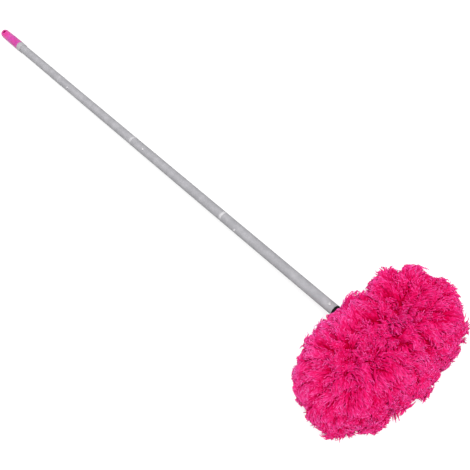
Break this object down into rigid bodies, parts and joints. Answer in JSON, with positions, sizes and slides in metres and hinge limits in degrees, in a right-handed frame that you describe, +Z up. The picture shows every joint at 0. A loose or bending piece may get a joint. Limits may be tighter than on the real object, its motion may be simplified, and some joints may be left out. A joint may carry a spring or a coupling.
{
  "type": "ceiling fan duster",
  "caption": "Long-handled duster: a snap-together tube pole with a hang cap and an oval yarn head bent round a slot that takes a fan blade.",
  "frame": {"origin": "on the floor below the middle of the duster's box, as it lies on its yarn head and its hang cap", "axes": "+X along the pole from the hang cap to the head, +Y across, along the head's long side, +Z up"},
  "size_m": [1.596, 0.3542, 0.1288],
  "materials": {
    "pink_plastic": "satin",
    "light_grey_plastic": "satin",
    "grey_metal": "satin",
    "black_plastic": "satin",
    "button_steel": "satin",
    "spring_steel": "satin",
    "wire_steel": "satin",
    "sleeve_cloth": "matte",
    "pink_yarn": "matte"
  },
  "bodies": {
    "duster": {"hang_cap": "pink_plastic", "cap_collar": "light_grey_plastic", "tube_1": "grey_metal", "tube_2": "grey_metal", "tube_3": "grey_metal", "tube_4": "grey_metal", "snap_spring_1": "spring_steel", "snap_spring_2": "spring_steel", "snap_spring_3": "spring_steel", "snap_spring_4": "spring_steel", "ferrule": "black_plastic", "leg_pin": "spring_steel", "wire_loop": "wire_steel", "backing_sleeve": "sleeve_cloth", "sleeve_tie": "black_plastic", "yarn_pile_01": "pink_yarn", "yarn_pile_02": "pink_yarn", "yarn_pile_03": "pink_yarn", "yarn_pile_04": "pink_yarn", "yarn_pile_05": "pink_yarn", "yarn_pile_06": "pink_yarn", "yarn_pile_07": "pink_yarn", "yarn_pile_08": "pink_yarn", "yarn_pile_09": "pink_yarn", "yarn_pile_10": "pink_yarn", "yarn_pile_11": "pink_yarn", "yarn_pile_12": "pink_yarn"},
    "snap_button_1": {"snap_button_1": "button_steel"},
    "snap_button_2": {"snap_button_2": "button_steel"},
    "snap_button_3": {"snap_button_3": "button_steel"},
    "snap_button_4": {"snap_button_4": "button_steel"}
  },
  "joints": [
    {"name": "press_button_1", "type": "slide", "parent": "duster", "child": "snap_button_1", "axis": [0.0295, 0.4695, -0.8825], "range_m": [0, 0.0028], "stiffness_N_per_m": 1500, "springref_m": -0.002, "deforming": ["snap_spring_1"]},
    {"name": "press_button_2", "type": "slide", "parent": "duster", "child": "snap_button_2", "axis": [0.0327, 0.2079, -0.9776], "range_m": [0, 0.0028], "stiffness_N_per_m": 1500, "springref_m": -0.002, "deforming": ["snap_spring_2"]},
    {"name": "press_button_3", "type": "slide", "parent": "duster", "child": "snap_button_3", "axis": [0.0219, 0.7547, -0.6557], "range_m": [0, 0.0028], "stiffness_N_per_m": 1500, "springref_m": -0.002, "deforming": ["snap_spring_3"]},
    {"name": "press_button_4", "type": "slide", "parent": "duster", "child": "snap_button_4", "axis": [0.0334, -0.0523, -0.9981], "range_m": [0, 0.0028], "stiffness_N_per_m": 1500, "springref_m": -0.002, "deforming": ["snap_spring_4"]}
  ]
}
